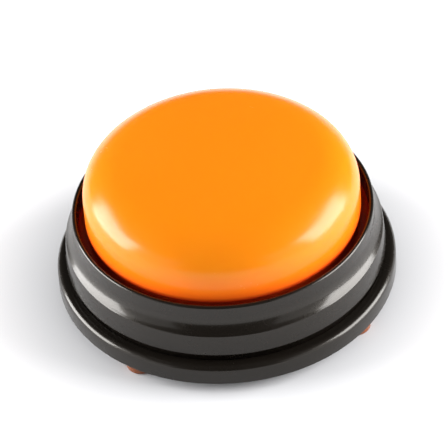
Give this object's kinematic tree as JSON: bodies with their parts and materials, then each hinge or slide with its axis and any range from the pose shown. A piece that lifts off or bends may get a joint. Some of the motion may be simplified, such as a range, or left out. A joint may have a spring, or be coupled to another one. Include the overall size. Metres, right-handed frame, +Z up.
{
  "type": "quiz buzzer",
  "caption": "Round tabletop quiz buzzer: a domed push button in a stepped ring, over a base plate with a speaker, a sound board, dry cells and a hinged battery door.",
  "frame": {"origin": "centre of the circle of feet, on the surface that the buzzer stands on", "axes": "+Z up through the dome, +Y towards the battery compartment, -Y towards the speaker, +X towards the battery door's screw"},
  "size_m": [0.0888, 0.0888, 0.0414],
  "materials": {
    "black_abs": "polished injection-moulded ABS",
    "orange_abs": "polished injection-moulded ABS",
    "brown_rubber": "soft moulded brown rubber",
    "zinc_steel": "zinc-plated screws",
    "nickel_steel": "nickel-plated spring steel",
    "spring_steel": "drawn spring wire",
    "silicone": "translucent silicone",
    "carbon": "conductive carbon rubber",
    "board": "glass-filled board with solder mask",
    "resin": "black epoxy resin",
    "can_sleeve": "sleeved aluminium can",
    "black_epoxy_case": "moulded epoxy case",
    "resistor_lacquer": "lacquered ceramic",
    "basket_steel": "zinc-plated pressed steel",
    "cone_film": "polyester film",
    "magnet": "nickel-plated magnet cup",
    "cell_jacket": "printed cell jacket without lettering",
    "red_pvc": "PVC insulation",
    "black_pvc": "PVC insulation"
  },
  "bodies": {
    "base": {"top_ring": "black_abs", "skirt_ring": "black_abs", "base_plate": "black_abs", "feet": "brown_rubber", "base_screws": "zinc_steel", "switch_dome": "silicone", "circuit_board": "board", "board_screws": "zinc_steel", "sound_chip": "resin", "capacitor": "can_sleeve", "transistor": "black_epoxy_case", "resistors": "resistor_lacquer", "speaker_frame": "basket_steel", "speaker_cone": "cone_film", "speaker_magnet": "magnet", "speaker_screws": "zinc_steel", "battery_1": "cell_jacket", "battery_2": "cell_jacket", "bridge_contact": "nickel_steel", "positive_terminal": "nickel_steel", "negative_terminal": "nickel_steel", "red_battery_wire": "red_pvc", "black_battery_wire": "black_pvc", "speaker_wire_left": "red_pvc", "speaker_wire_right": "black_pvc", "return_spring_1": "spring_steel", "return_spring_2": "spring_steel", "return_spring_3": "spring_steel"},
    "button": {"button_cap": "orange_abs", "contact_pill": "carbon"},
    "door": {"battery_door": "black_abs", "door_screw": "zinc_steel"}
  },
  "joints": [
    {"name": "button_press", "type": "slide", "parent": "base", "child": "button", "axis": [0, 0, -1], "range_m": [0, 0.0028], "stiffness_N_per_m": 900, "springref_m": -0.0015, "deforming": ["switch_dome", "return_spring_1", "return_spring_2", "return_spring_3"]},
    {"name": "door_hinge", "type": "hinge", "parent": "base", "child": "door", "pos_m": [-0.025, 0.0114, 0.0035], "axis": [0, 1, 0], "range_deg": [0, 85]}
  ]
}
